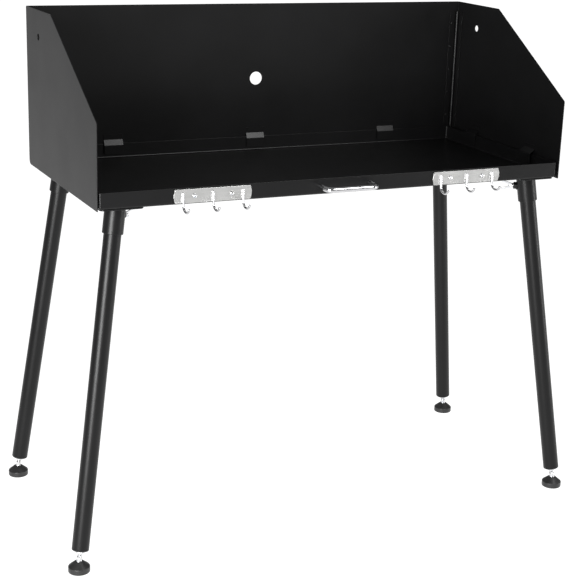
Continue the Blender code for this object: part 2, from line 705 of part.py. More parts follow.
def build_screw(name, spot, facing, length):
    """A pan-head screw lying along Y: its head points to +Y when facing is 1, and to -Y when it is -1."""
    profile = [(0, SCREW_HEAD_HEIGHT), (SCREW_HEAD_FLAT, SCREW_HEAD_HEIGHT)]
    profile += [(SCREW_HEAD_RADIUS, SCREW_HEAD_EDGE), (SCREW_HEAD_RADIUS, 0)]
    profile += [(SCREW_RADIUS, 0), (SCREW_RADIUS, -length), (0, -length)]
    quarter = Matrix.Rotation(math.radians(-90 * facing), 4, "X")
    add_turned(name, profile, ZINC, TABLE, Matrix.Translation(spot) @ quarter, sides=SMALL_SIDES)


def build_rail_screws():
    names = [f"rail_screw_{label}_{number}" for label in SIDES for number in (1, 2)]
    for name, x in zip(names, rail_screw_places()):
        build_screw(name, (x, RAIL_FRONT - GAP, RIM_MIDDLE), -1, RAIL_SCREW_LENGTH)


# ---------------------------------------------------------------- the table

clear_scene()
PIECES = new_collection("camp_cooking_table")
TOOLS = new_collection("cutters")

BLACK = new_material("black_powder_coat", (0.012, 0.012, 0.013), 0.42, 0.0)
PLASTIC = new_material("black_plastic", (0.014, 0.014, 0.014), 0.5, 0.0)
STAINLESS = new_material("brushed_stainless", (0.62, 0.62, 0.60), 0.32, 1.0)
POLISHED = new_material("polished_steel", (0.75, 0.75, 0.76), 0.12, 1.0)
ZINC = new_material("zinc_plated_steel", (0.70, 0.71, 0.72), 0.28, 1.0)

TABLE = add_empty("table_frame", None, Matrix.Translation((0, DEPTH_SHIFT, 0)))
LEG_LENGTH = leg_frame("front_left")[1]
LEG_FRAMES = {corner: add_empty(f"leg_axis_{corner}", TABLE, leg_frame(corner)[0]) for corner in CORNERS}
BOLT_FRAMES = {corner: add_empty(f"bolt_axis_{corner}", TABLE, bolt_frame(corner)) for corner in CORNERS}
WING_PIVOTS = {}
for label, side in SIDES.items():
    toe = Matrix.Rotation(-side * WING_TOE_IN, 4, "Z")
    corner = Matrix.Translation((side * HINGE_X, HINGE_Y, 0))
    WING_PIVOTS[label] = add_empty(f"hinge_axis_{label}", TABLE, corner @ toe)
bpy.context.view_layer.update()

build_tray()
for corner in CORNERS:
    build_socket(corner)
    build_wing_bolt(corner)
    build_leg(corner)
    build_foot(corner)
build_back_panel()
for label in SIDES:
    build_wing(label)
    build_hinge(label)
    build_rail(label)
build_rail_screws()
build_handle()
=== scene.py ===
"""Looks of the camp cooking table: sheet metal, welds, threads, rivets, finishes and a plain pale studio."""

import json
import math

import bmesh
import bpy
from mathutils import Matrix, Vector


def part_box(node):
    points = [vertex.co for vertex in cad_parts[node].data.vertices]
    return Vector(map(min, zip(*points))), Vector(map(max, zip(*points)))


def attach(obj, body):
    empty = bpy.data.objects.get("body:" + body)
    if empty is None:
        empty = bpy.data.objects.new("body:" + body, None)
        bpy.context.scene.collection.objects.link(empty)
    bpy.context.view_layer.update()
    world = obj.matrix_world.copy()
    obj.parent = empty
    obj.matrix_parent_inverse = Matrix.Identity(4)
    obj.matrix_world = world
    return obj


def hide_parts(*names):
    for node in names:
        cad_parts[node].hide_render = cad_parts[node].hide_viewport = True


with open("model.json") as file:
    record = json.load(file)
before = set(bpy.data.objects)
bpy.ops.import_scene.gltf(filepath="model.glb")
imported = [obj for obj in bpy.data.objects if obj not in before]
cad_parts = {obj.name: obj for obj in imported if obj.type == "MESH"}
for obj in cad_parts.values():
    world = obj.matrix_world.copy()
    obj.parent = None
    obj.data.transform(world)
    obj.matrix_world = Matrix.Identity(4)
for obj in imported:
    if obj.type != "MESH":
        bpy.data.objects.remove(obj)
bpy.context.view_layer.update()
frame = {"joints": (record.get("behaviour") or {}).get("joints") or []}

SIDES = {"left": -1, "right": 1}
CORNERS = ("front_left", "front_right", "back_left", "back_right")

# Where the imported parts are; every length in this script is in metres
TRAY_LOW, TRAY_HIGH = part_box("tray")
BACK_LOW, BACK_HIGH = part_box("windscreen_back")
MIDDLE_Y = (TRAY_LOW.y + TRAY_HIGH.y) / 2
JOINTS = {joint["name"]: joint for joint in frame["joints"]}

# Sheet metal
SCREEN_SHEET = 0.0015
SCREEN_HALF_DEPTH = 0.214
WING_TOP = 0.165
WING_FRONT_HEIGHT = 0.154
WING_TOE_IN = math.radians(1.0)
WING_OUTER = 0.4825
WING_HEEL_RADIUS = 0.010
BACK_HOLE_RADIUS = 0.0135
WING_HOLE_RADIUS = 0.0065
WING_HOLE_DROP = 0.050
WING_CORNERS = {"top_back": 0.002, "top_front": 0.004, "front_top": 0.004, "front_bottom": 0.001}
SHEET_EDGE = 0.0004
TRAY_SHEET = 0.0012
FOLD_RADIUS = 0.0042
RIM_EDGE = 0.00056

# Clips welded inside the panels; a bend is its (height, fall, reach inwards)
CLIP_WELD = 0.0001
CLIP_WIDTH = 0.040
CLIP_SHEET = 0.0012
CLIP_TOP = 0.0505
CLIP_BOTTOM = 0.0105
BACK_CLIPS = (-0.311, 0.0, 0.311)
BACK_CLIP_BEND = (0.0395, 0.0110, 0.0050)
WING_CLIPS = (-0.108, 0.108)
WING_CLIP_BEND = (0.0425, 0.0085, 0.0106)
BEND_RADIUS = 0.0022
RIBBON_EDGE_SHARE = 0.3

# Hinges; lengths out from the pin's axis, along the leaf or across it
KNUCKLES = 5
KNUCKLE_GAP = 0.0002
KNUCKLE_RADIUS = 0.003
KNUCKLE_BORE = 0.0016
PIN_RADIUS = 0.0013
PIN_EDGE = 0.0003
LEAF_SHEET = 0.001
LEAF_EDGE = 0.0002
LEAF_START = 0.0034
LEAF_END = 0.017
LEAF_CORNER = 0.002
LEAF_TAB = 0.005
LEAF_ACROSS = 0.0024
RIVETS = 5
RIVET_ALONG = 0.0115
RIVET_ACROSS = 0.0019
RIVET_DOME = ((0, 0.0009), (0.0010, 0.0008), (0.0018, 0.0005), (0.0023, 0.0), (0.0023, -0.0004), (0, -0.0004))

# Legs and feet
SLEEVE_RADIUS = 0.019
SLEEVE_BORE = 0.01625
SLEEVE_LENGTH = 0.053
SLEEVE_EDGE = 0.0006
SLEEVE_BEAD = 0.0020
SLEEVE_BEAD_OUT = 0.0005
SLEEVE_BEAD_DROP = 0.0006
PLATE_CORNER = 0.008
PLATE_EDGE = 0.0005
SPOT_WELD_SHARE = 0.72
SPOT_WELD = ((0.0035, 0.0001), (0.0030, -0.00025), (0.0018, -0.0001), (0.0, 0.0))
BEAD_SWELL = 0.18
TUBE_RADIUS = 0.0159
TUBE_WALL = 0.0015
TUBE_EDGE = 0.0004
TUBE_START = 0.007
TUBE_END = 0.6341
PLUG_END = 0.6370
PLUG_INSERT = 0.018
PLUG_BORE = 0.0043
PLUG_EDGE = 0.0002
PLUG_CHAMFER = 0.0004
PLUG_FILLET = 0.0011
PLUG_GROOVE = ((0.0100, 0.0), (0.0096, 0.0004), (0.0090, 0.0004), (0.0086, 0.0))
NUT_FLATS = 0.013
NUT_HEIGHT = 0.0065
NUT_BORE = 0.0040
NUT_LEAD_IN = 0.0046
NUT_CHAMFER = 0.0005
NUT_FACE_SHARE = 0.94
STUD_RADIUS = 0.004
STUD_LENGTH = 0.055
STUD_PITCH = 0.00125
STUD_THREAD_DEPTH = 0.0006
STUD_CHAMFER = 0.0008
STUD_COLLAR = 0.0105
STUD_COLLAR_RADIUS = 0.0050
STUD_COLLAR_EDGE = 0.0006
STUD_COLLAR_CHAMFER = 0.0008
BALL_RADIUS = 0.0060
BALL_NECK = 0.0034
BALL_HEIGHT = 0.019
PAD_RADIUS = 0.020
PAD_RIM = 0.0105
PAD_HEIGHT = 0.0212
PAD_LIP = 0.0068
PAD_CAVITY = 0.0063
PAD_MOUTH_EDGE = 0.0001
PAD_GROOVES = (0.0135, 0.0095)
GROOVE = ((0.0008, 0.0), (0.0005, 0.0006), (-0.0005, 0.0006), (-0.0008, 0.0))
GAP = 0.0003
THREAD_ROWS = 6

# A pad's outside, from its lip to its sole, as (radius, height, fillet) corners
PAD_OUTSIDE = (
    (PAD_LIP, PAD_HEIGHT, 0.0004),
    (PAD_LIP + 0.0022, PAD_HEIGHT - 0.0016, 0.002),
    (PAD_RADIUS, PAD_RIM, 0.0022),
    (PAD_RADIUS, 0, 0.0014),
    (PAD_RADIUS - 0.004, 0, 0),
)

# Wing bolts; an ear is its (out, up, half width, half depth) from its root to its tip
BOSS_RADIUS = 0.007
BOSS_FACE = 0.026
BOSS_BORE = 0.0033
BOSS_ROOT = 0.0018
BOSS_CHAMFER = 0.0007
BOSS_BEAD = 0.0013
BOSS_BEAD_OUT = 0.0004
BOSS_BEAD_LIFT = 0.0002
BOLT_TURNS = {"front_left": 130.0, "front_right": 50.0, "back_left": 110.0, "back_right": 70.0}
BOLT_RADIUS = 0.0030
BOLT_PITCH = 0.001
BOLT_THREAD_DEPTH = 0.0005
BOLT_THREAD_GAP = 0.0004
BOLT_THREAD_END = 0.0174
BOLT_TIP = 0.0169
BOLT_HEAD = ((0, 0.0355), (0.0020, 0.0354), (0.0034, 0.0349), (0.0042, 0.0338))
BOLT_HUB_RADIUS = 0.0048
BOLT_HUB_FOOT = 0.0044
BOLT_HUB_CHAMFER = 0.0006
EAR = (
    (0.0010, 0.0305, 0.0042, 0.0020),
    (0.0036, 0.0320, 0.0039, 0.0018),
    (0.0060, 0.0350, 0.0034, 0.0015),
    (0.0082, 0.0390, 0.0029, 0.0013),
    (0.0100, 0.0430, 0.0027, 0.0012),
    (0.0111, 0.0462, 0.0027, 0.0012),
    (0.0118, 0.0484, 0.0022, 0.0010),
    (0.0122, 0.0497, 0.0013, 0.0007),
    (0.0123, 0.0502, 0.0004, 0.0002),
)

# Rails, hooks and handle
RAIL_BULGE = 0.0026
RAIL_EDGE = 0.00045
RAIL_HOLE = 0.0021
RAIL_HOLE_SPOT = 0.0355
RAIL_CORNER = 0.0008
RAIL_CORNER_TURN = 1.2
WIRE_DOME_SHARE = 0.6
WIRE_END_RINGS = 5
HOOK_REACH = 0.014
HOOK_BEND_DROP = 0.001
HOOK_BEND_STEPS = 28
HOOK_STEM_ROWS = (0.006, 0.012)
HOOK_LEAD = 0.004
HANDLE_RADIUS = 0.005
HANDLE_BEND = 0.012
HANDLE_ROOT = 0.004
HANDLE_STEP = 0.02

# Pan-head screws; heights are from the head's seat
SCREW_HEAD = 0.0022
SCREW_RADIUS = 0.0018
SCREW_PITCH = 0.0007
SCREW_THREAD_DEPTH = 0.00035
SCREW_THREAD_GAP = 0.0006
SCREW_TIP = 0.0012
SCREW_CROWN_ROW = 0.0002
SCREW_CROWN_FALL = 0.0000064
SCREW_RIM = ((0.0030, 0.0019), (0.0036, 0.0014), (0.0040, 0.0006), (0.0040, 0.0001), (0.0039, 0.0))
RECESS_FLOOR = 0.0011
RECESS_RADIUS = 0.0020
RECESS_LOWEST = 0.0008
RECESS_REACH = 0.0024
RECESS_HALF_WIDTH = 0.00045
RECESS_SLOPE = 0.0003

# Camera: angles in degrees, target height measured from the windscreen's foot
CAMERA_AZIMUTH = -25.115
CAMERA_ELEVATION = 16.811
CAMERA_ROLL = 1.859
CAMERA_DISTANCE = 2.7911
CAMERA_LENS_MM = 85.829
CAMERA_SENSOR_MM = 36.0
TARGET_X = -0.01007
TARGET_DROP = 0.2419

# Light: each softbox is its name, place, aim, size, power in watts and spread in degrees
FLOOR_RADIUS = 40.0
SKY_STRENGTH = 0.25
SOFTBOXES = (
    ("left_front", (-1.95, -1.8, 0.95), (-0.5, -0.25, 0.95), (1.0, 1.8), 40.0, 100.0),
    ("right_front", (2.3, -1.25, 0.85), (0.3, -0.25, 0.8), (0.6, 1.6), 5.0, 90.0),
    ("front_high", (0.85, -1.75, 2.15), (0.1, 0.1, 0.7), (0.9, 0.7), 20.0, 150.0),
)

# Local X, Y, Z of a flat outline become world Y, Z, X on a wing, and world X, Z, -Y facing the front
ON_WING = Matrix(((0, 0, 1), (1, 0, 0), (0, 1, 0))).to_4x4()
FACING_FRONT = Matrix.Rotation(math.radians(90), 4, "X")

# Mesh finishing
WELD_DISTANCE = 0.000005
NORMAL_WEIGHT = 80


# ---------------------------------------------------------------- mesh tools

def arc(centre, radius, start, end, steps):
    """Points on an arc between two angles in degrees, both ends included."""
    points = []
    for step in range(steps + 1):
        angle = math.radians(start + (end - start) * step / steps)
        points.append((centre[0] + radius * math.cos(angle), centre[1] + radius * math.sin(angle)))
    return points


def rounded(corners, steps, closed=True):
    """A line through (x, y, radius) corners, each one with a radius replaced by its fillet arc."""
    line = []
    count = len(corners)
    for index, (x, y, radius) in enumerate(corners):
        corner = Vector((x, y))
        if radius == 0 or (not closed and index in (0, count - 1)):
            line.append((x, y))
            continue
        before = (Vector(corners[index - 1][:2]) - corner).normalized()
        after = (Vector(corners[(index + 1) % count][:2]) - corner).normalized()
        half = before.angle(after) / 2
        middle = corner + (before + after).normalized() * (radius / math.sin(half))
        first = corner + before * (radius / math.tan(half)) - middle
        last = corner + after * (radius / math.tan(half)) - middle
        sweep = first.angle_signed(last)
        for step in range(steps + 1):
            line.append(tuple(middle + Matrix.Rotation(-sweep * step / steps, 2) @ first))
    return line


def skin(bm, rings, loop=False, capped=True):
    """Adds the surface through rings of points; a ring of one point closes to a tip."""
    made = [[bm.verts.new(point) for point in ring] for ring in rings]
    pairs = list(zip(made, made[1:]))
    if loop:
        pairs.append((made[-1], made[0]))
    for near, far in pairs:
        count = max(len(near), len(far))
        for k in range(count):
            n = (k + 1) % count
            if len(near) == 1:
                bm.faces.new((near[0], far[k], far[n]))
            elif len(far) == 1:
                bm.faces.new((near[k], far[0], near[n]))
            else:
                bm.faces.new((near[k], far[k], far[n], near[n]))
    if capped and not loop:
        for ring in (made[0], made[-1]):
            if len(ring) > 2:
                bm.faces.new(ring)


def turned(bm, profile, steps, loop=False, shape=None, matrix=None):
    """Adds a turned shape from (radius, height) points; shape may move each (radius, height, angle)."""
    matrix = matrix or Matrix.Identity(4)
    rings = []
    for radius, height in profile:
        count = 1 if radius == 0 else steps
        ring = []
        for k in range(count):
            angle = 2 * math.pi * k / steps
            r, z = shape(radius, height, angle) if shape else (radius, height)
            ring.append(matrix @ Vector((r * math.cos(angle), r * math.sin(angle), z)))
        rings.append(ring)
    skin(bm, rings, loop=loop, capped=False)


def swept(bm, path, sections, closed=False):
    """Adds a tube along a path; sections holds the (x, y) points of its section at each point of the path."""
    rings = []
    count = len(path)
    side = None
    for index, point in enumerate(path):
        ahead = path[(index + 1) % count] if closed or index < count - 1 else point
        behind = path[index - 1] if closed or index > 0 else point
        along = (Vector(ahead) - Vector(behind)).normalized()
        if side is None:
            side = along.orthogonal().normalized()
        side = (side - along * side.dot(along)).normalized()
        up = along.cross(side)
        rings.append([Vector(point) + side * x + up * y for x, y in sections[index]])
    skin(bm, rings, loop=closed)


def circle(radius, steps):
    """(x, y) points round a circle."""
    angles = [2 * math.pi * k / steps for k in range(steps)]
    return [(radius * math.cos(angle), radius * math.sin(angle)) for angle in angles]


def rod(bm, path, radius, steps):
    """Adds a round wire along a path, both ends rounded over."""
    first, second = Vector(path[0]), Vector(path[1])
    last, before = Vector(path[-1]), Vector(path[-2])
    out_start = (first - second).normalized()
    out_end = (last - before).normalized()
    dome = radius * WIRE_DOME_SHARE
    ends = WIRE_END_RINGS
    points, sizes = [], []
    for step in range(ends):
        lift = math.radians(90 * (ends - step) / ends - 2)
        points.append(first - out_start * dome * (1 - math.sin(lift)))
        sizes.append(radius * math.cos(lift))
    for point in path[1:-1]:
        points.append(Vector(point))
        sizes.append(radius)
    for step in range(ends):
        lift = math.radians(90 * (step + 1) / ends - 2)
        points.append(last - out_end * dome * (1 - math.sin(lift)))
        sizes.append(radius * math.cos(lift))
    swept(bm, points, [circle(size, steps) for size in sizes])


def sheet(outline, holes, thickness, edge=SHEET_EDGE):
    """A flat sheet in the X-Y plane with its edges rounded over, as a mesh."""
    curve = bpy.data.curves.new("sheet", "CURVE")
    curve.dimensions = "2D"
    curve.fill_mode = "BOTH"
    curve.extrude = thickness / 2 - edge
    curve.bevel_depth = edge
    curve.bevel_resolution = 2
    curve.offset = -edge
    for line in [outline] + [list(reversed(hole)) for hole in holes]:
        spline = curve.splines.new("POLY")
        spline.points.add(len(line) - 1)
        for point, spot in zip(spline.points, line):
            point.co = (spot[0], spot[1], 0.0, 1.0)
        spline.use_cyclic_u = True
    carrier = bpy.data.objects.new("sheet", curve)
    bpy.context.scene.collection.objects.link(carrier)
    graph = bpy.context.evaluated_depsgraph_get()
    mesh = bpy.data.meshes.new_from_object(carrier.evaluated_get(graph))
    bpy.data.objects.remove(carrier)
    bpy.data.curves.remove(curve)
    return mesh


def ribbon(bm, path, width, thickness, place):
    """Adds a bent strip: path is its (out, up) middle line, and place puts (across, up, out) points."""
    edge = thickness * RIBBON_EDGE_SHARE
    half = thickness / 2
    wide = width / 2
    corners = [(-wide, -half, edge), (wide, -half, edge), (wide, half, edge), (-wide, half, edge)]
    rows = []
    for index, point in enumerate(path):
        ahead = Vector(path[min(index + 1, len(path) - 1)])
        behind = Vector(path[max(index - 1, 0)])
        along = (ahead - behind).normalized()
        normal = Vector((along.y, -along.x))
        row = []
        for across, depth in rounded(corners, steps=2):
            spot = Vector(point) + normal * depth
            row.append(place @ Vector((across, spot.y, spot.x)))
        rows.append(row)
    skin(bm, rows)


def add_mesh(bm, mesh, matrix):
    """Adds a mesh, moved by a matrix, and removes the mesh itself."""
    mesh.transform(matrix)
    bm.from_mesh(mesh)
    bpy.data.meshes.remove(mesh)


def finish_piece(name, bm, material, body, replaced, sharp=35.0):
    """Turns a bmesh into a piece, with its shading, material, body and the nodes it replaces."""
    bmesh.ops.remove_doubles(bm, verts=bm.verts, dist=WELD_DISTANCE)
    bmesh.ops.recalc_face_normals(bm, faces=bm.faces)
    mesh = bpy.data.meshes.new(name)
    bm.to_mesh(mesh)
    bm.free()
    mesh.materials.append(material)
    mesh.shade_smooth()
    mesh.set_sharp_from_angle(angle=math.radians(sharp))
    piece = bpy.data.objects.new(name, mesh)
    bpy.context.scene.collection.objects.link(piece)
    even = piece.modifiers.new("flat_faces", "WEIGHTED_NORMAL")
    even.weight = NORMAL_WEIGHT
    even.keep_sharp = True
    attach(piece, body)
    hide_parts(*replaced)
    return piece


# ---------------------------------------------------------------- materials

class Nodes:
    """A small helper for writing a material's nodes in order."""

    def __init__(self, name):
        self.material = bpy.data.materials.new(name)
        self.material.use_nodes = True
        self.tree = self.material.node_tree
        self.shader = self.tree.nodes["Principled BSDF"]
        self.place = self.add("ShaderNodeTexCoord").outputs["Object"]

    def add(self, kind, **settings):
        node = self.tree.nodes.new(kind)
        for key, value in settings.items():
            setattr(node, key, value)
        return node

    def link(self, start, end):
        self.tree.links.new(start, end)

    def stretched(self, scale):
        mapping = self.add("ShaderNodeMapping")
        mapping.inputs["Scale"].default_value = scale
        self.link(self.place, mapping.inputs["Vector"])
        return mapping.outputs["Vector"]

    def noise(self, scale, detail=2.0, rough=0.5, place=None):
        node = self.add("ShaderNodeTexNoise")
        node.inputs["Scale"].default_value = scale
        node.inputs["Detail"].default_value = detail
        node.inputs["Roughness"].default_value = rough
        self.link(place or self.place, node.inputs["Vector"])
        return node.outputs["Fac"]

    def spread(self, value, low, high, start=0.3, end=0.7):
        node = self.add("ShaderNodeMapRange")
        node.inputs["From Min"].default_value = start
        node.inputs["From Max"].default_value = end
        node.inputs["To Min"].default_value = low
        node.inputs["To Max"].default_value = high
        self.link(value, node.inputs["Value"])
        return node.outputs["Result"]

    def ramp(self, value, stops):
        node = self.add("ShaderNodeValToRGB")
        ramp = node.color_ramp
        while len(ramp.elements) < len(stops):
            ramp.elements.new(0.5)
        for element, (spot, colour) in zip(ramp.elements, stops):
            element.position = spot
            element.color = (*colour, 1.0)
        self.link(value, node.inputs["Fac"])
        return node.outputs["Color"]

    def mix(self, amount, first, second):
        node = self.add("ShaderNodeMix", data_type="RGBA")
        self.link(amount, node.inputs["Factor"])
        self.link(first, node.inputs["A"])
        self.link(second, node.inputs["B"])
        return node.outputs["Result"]

    def bump(self, height, strength, distance, normal=None):
        node = self.add("ShaderNodeBump")
        node.inputs["Strength"].default_value = strength
        node.inputs["Distance"].default_value = distance
        self.link(height, node.inputs["Height"])
        if normal:
            self.link(normal, node.inputs["Normal"])
        return node.outputs["Normal"]

    def set(self, **values):
        for key, value in values.items():
            socket = self.shader.inputs[key.replace("_", " ")]
            if isinstance(value, bpy.types.NodeSocket):
                self.link(value, socket)
            else:
                socket.default_value = value


def grey(level):
    """A neutral colour."""
    return (level, level, level)


def powder_coat():
    """Semi-gloss black powder coat: a fine orange peel, faint mottling and a few paler specks in the film."""
    nodes = Nodes("black_powder_coat")
    film = [(0.3, (0.0026, 0.0026, 0.0027)), (0.7, (0.0040, 0.0040, 0.0042))]
    colour = nodes.ramp(nodes.noise(9.0, detail=4.0, rough=0.6), film)
    pale = nodes.ramp(nodes.noise(160.0, detail=3.0), [(0.35, grey(0.008)), (0.65, (0.02, 0.02, 0.021))])
    specks = nodes.spread(nodes.noise(900.0), low=0.0, high=0.3, start=0.70, end=0.78)
    normal = nodes.bump(nodes.noise(620.0, rough=0.45), strength=0.10, distance=0.0004)
    normal = nodes.bump(nodes.noise(2600.0, detail=1.0), strength=0.06, distance=0.0001, normal=normal)
    gloss = nodes.spread(nodes.noise(14.0, detail=3.0, rough=0.6), low=0.335, high=0.365)
    nodes.set(Base_Color=nodes.mix(specks, colour, pale), Roughness=gloss, Normal=normal)
    nodes.set(Specular_IOR_Level=0.25)
    return nodes.material


def moulded_plastic():
    """Black moulded plastic with a fine spark-eroded grain."""
    nodes = Nodes("black_plastic")
    colour = nodes.ramp(nodes.noise(60.0, detail=3.0), [(0.3, grey(0.009)), (0.7, grey(0.016))])
    grain = nodes.bump(nodes.noise(1500.0), strength=0.25, distance=0.0002)
    gloss = nodes.spread(nodes.noise(90.0, detail=3.0), low=0.36, high=0.5)
    nodes.set(Base_Color=colour, Roughness=gloss, Normal=grain, Specular_IOR_Level=0.5)
    return nodes.material


def brushed_stainless():
    """Stainless sheet brushed along its length, with a few deeper strokes and faint handling marks."""
    nodes = Nodes("brushed_stainless")
    fine = nodes.noise(1.0, detail=3.0, rough=0.6, place=nodes.stretched((25.0, 2500.0, 2500.0)))
    strokes = nodes.noise(1.0, place=nodes.stretched((9.0, 700.0, 700.0)))
    colour = nodes.ramp(fine, [(0.25, (0.52, 0.52, 0.51)), (0.75, (0.74, 0.74, 0.73))])
    marks = nodes.spread(nodes.noise(45.0, detail=3.0), low=0.27, high=0.4)
    normal = nodes.bump(fine, strength=0.25, distance=0.0001)
    normal = nodes.bump(strokes, strength=0.15, distance=0.0002, normal=normal)
    nodes.set(Base_Color=colour, Roughness=marks, Normal=normal, Metallic=1.0)
    return nodes.material


def polished_steel():
    """Polished round bar: bright, with the faint waves of drawing and polishing."""
    nodes = Nodes("polished_steel")
    haze = nodes.noise(120.0, detail=4.0, rough=0.6)
    colour = nodes.ramp(haze, [(0.3, (0.50, 0.50, 0.51)), (0.7, (0.60, 0.60, 0.61))])
    waves = nodes.bump(nodes.noise(260.0), strength=0.08, distance=0.0002)
    gloss = nodes.spread(haze, low=0.10, high=0.2)
    nodes.set(Base_Color=colour, Roughness=gloss, Normal=waves, Metallic=1.0)
    return nodes.material


def zinc_plate():
    """Bright zinc plate: slightly blue and yellow in patches, with a soft grain."""
    nodes = Nodes("zinc_plated_steel")
    tint = nodes.noise(140.0, detail=3.0, rough=0.6)
    stops = [(0.3, (0.62, 0.62, 0.60)), (0.5, (0.72, 0.72, 0.73)), (0.7, (0.66, 0.69, 0.74))]
    grain = nodes.bump(nodes.noise(1800.0), strength=0.12, distance=0.0001)
    gloss = nodes.spread(tint, low=0.2, high=0.36)
    nodes.set(Base_Color=nodes.ramp(tint, stops), Roughness=gloss, Normal=grain, Metallic=1.0)
    return nodes.material


def studio_floor():
    """Seamless floor that glows, which is painted light: white round the table and behind it, dimmer to its
    left and far in front.
    """
    nodes = Nodes("studio_floor")
    shade = nodes.ramp(nodes.noise(0.6, detail=3.0), [(0.3, grey(0.28)), (0.7, grey(0.32))])
    split = nodes.add("ShaderNodeSeparateXYZ")
    nodes.link(nodes.place, split.inputs["Vector"])
    # Painted light: the floor's glow, full round and behind the table and fading far in front (Y), and dimmer
    # to the left (X)
    along = nodes.spread(split.outputs["Y"], low=0.0, high=1.0, start=-8.0, end=0.0)
    glow = [(0.0, grey(0.28)), (0.40, grey(0.3)), (0.60, grey(0.85)), (0.94, grey(1.0))]
    depth = nodes.ramp(along, glow)
    left = nodes.spread(split.outputs["X"], low=0.45, high=1.0, start=-1.7, end=-0.75)
    nodes.set(Base_Color=shade, Roughness=0.75, Specular_IOR_Level=0.2)
    nodes.set(Emission_Color=depth, Emission_Strength=left)
    return nodes.material


BLACK = powder_coat()
PLASTIC = moulded_plastic()
STAINLESS = brushed_stainless()
POLISHED = polished_steel()
ZINC = zinc_plate()


# ---------------------------------------------------------------- tray

def build_tray():
    """The tray: an open box of sheet with rounded folds and a rounded upper edge."""
    bm = bmesh.new()
    size = TRAY_HIGH - TRAY_LOW
    matrix = Matrix.Translation((TRAY_LOW + TRAY_HIGH) / 2) @ Matrix.Diagonal((*size, 1.0))
    bmesh.ops.create_cube(bm, size=1.0, matrix=matrix)
    bm.normal_update()
    bmesh.ops.delete(bm, geom=[face for face in bm.faces if face.normal.z > 0.5], context="FACES_ONLY")
    folds = [edge for edge in bm.edges if not edge.is_boundary]
    bmesh.ops.bevel(bm, geom=folds, offset=FOLD_RADIUS, segments=5, profile=0.5, affect="EDGES")
    tray = finish_piece("tray_sheet", bm, BLACK, "table", ["tray"], sharp=60)
    thicken = tray.modifiers.new("sheet", "SOLIDIFY")
    thicken.thickness = TRAY_SHEET
    thicken.offset = -1.0
    thicken.use_even_offset = True
    rim = tray.modifiers.new("rim_edge", "BEVEL")
    rim.width = RIM_EDGE
    rim.segments = 3
    rim.limit_method = "ANGLE"
    rim.angle_limit = math.radians(60)
    tray.modifiers.move(0, 2)


# ---------------------------------------------------------------- windscreen

def panel(name, outline, hole, clips, bend, inward, place):
    """One panel, drawn flat in X-Y with its inner side towards Z times inward, and the clips welded to it."""
    x, y, radius = hole
    bm = bmesh.new()
    add_mesh(bm, sheet(outline, [[(x + a, y + b) for a, b in circle(radius, 40)]], SCREEN_SHEET), place)
    shoulder, fall, reach = bend
    weld = inward * (SCREEN_SHEET / 2 + CLIP_SHEET / 2 - CLIP_WELD)
    inside = weld + inward * reach
    line = [(weld, CLIP_TOP, 0), (weld, shoulder, BEND_RADIUS), (inside, shoulder - fall, BEND_RADIUS)]
    path = rounded(line + [(inside, CLIP_BOTTOM, 0)], steps=6, closed=False)
    for spot in clips:
        ribbon(bm, path, CLIP_WIDTH, CLIP_SHEET, place @ Matrix.Translation((spot, 0, 0)))
    finish_piece(name, bm, BLACK, "windscreen", [name], sharp=40)


def build_back():
    middle = (BACK_HIGH.z - BACK_LOW.z) / 2
    width = BACK_HIGH.x
    height = BACK_HIGH.z - BACK_LOW.z
    outline = [(-width, 0), (width, 0), (width, height), (-width, height)]
    place = Matrix.Translation((0, BACK_HIGH.y - SCREEN_SHEET / 2, BACK_LOW.z)) @ FACING_FRONT
    hole = (0, middle, BACK_HOLE_RADIUS)
    panel("windscreen_back", outline, hole, BACK_CLIPS, BACK_CLIP_BEND, 1, place)


def hinge_frame(label):
    """The frame of a wing: its origin on the hinge's axis at the floor's height, turned by the toe-in."""
    low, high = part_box(f"hinge_pin_{label}")
    centre = (low + high) / 2
    toe = Matrix.Rotation(-SIDES[label] * WING_TOE_IN, 4, "Z")
    return Matrix.Translation((centre.x, centre.y, 0)) @ toe


def build_wing(label):
    side = SIDES[label]
    pivot = hinge_frame(label)
    back = SCREEN_HALF_DEPTH
    height = BACK_HIGH.z - BACK_LOW.z
    outline = [(back, 0, WING_HEEL_RADIUS), (back, height, WING_CORNERS["top_back"])]
    outline += [(back - WING_TOP, height, WING_CORNERS["top_front"])]
    outline += [(-back, WING_FRONT_HEIGHT, WING_CORNERS["front_top"])]
    outline += [(-back, 0, WING_CORNERS["front_bottom"])]
    middle = side * (WING_OUTER - SCREEN_SHEET / 2)
    home = Matrix.Translation((middle - pivot.translation.x, MIDDLE_Y - pivot.translation.y, BACK_LOW.z))
    place = pivot @ home @ ON_WING
    hole = (back - WING_TOP / 2, height - WING_HOLE_DROP, WING_HOLE_RADIUS)
    name = f"windscreen_{label}"
    panel(name, rounded(outline, steps=5), hole, WING_CLIPS, WING_CLIP_BEND, -side, place)


def knuckles(label):
    """The (bottom, top) heights of a hinge's knuckles."""
    low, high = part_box(f"hinge_pin_{label}")
    pitch = (high.z - low.z) / KNUCKLES
    spans = []
    for index in range(KNUCKLES):
        spans.append((low.z + index * pitch + KNUCKLE_GAP, low.z + (index + 1) * pitch - KNUCKLE_GAP))
    return spans


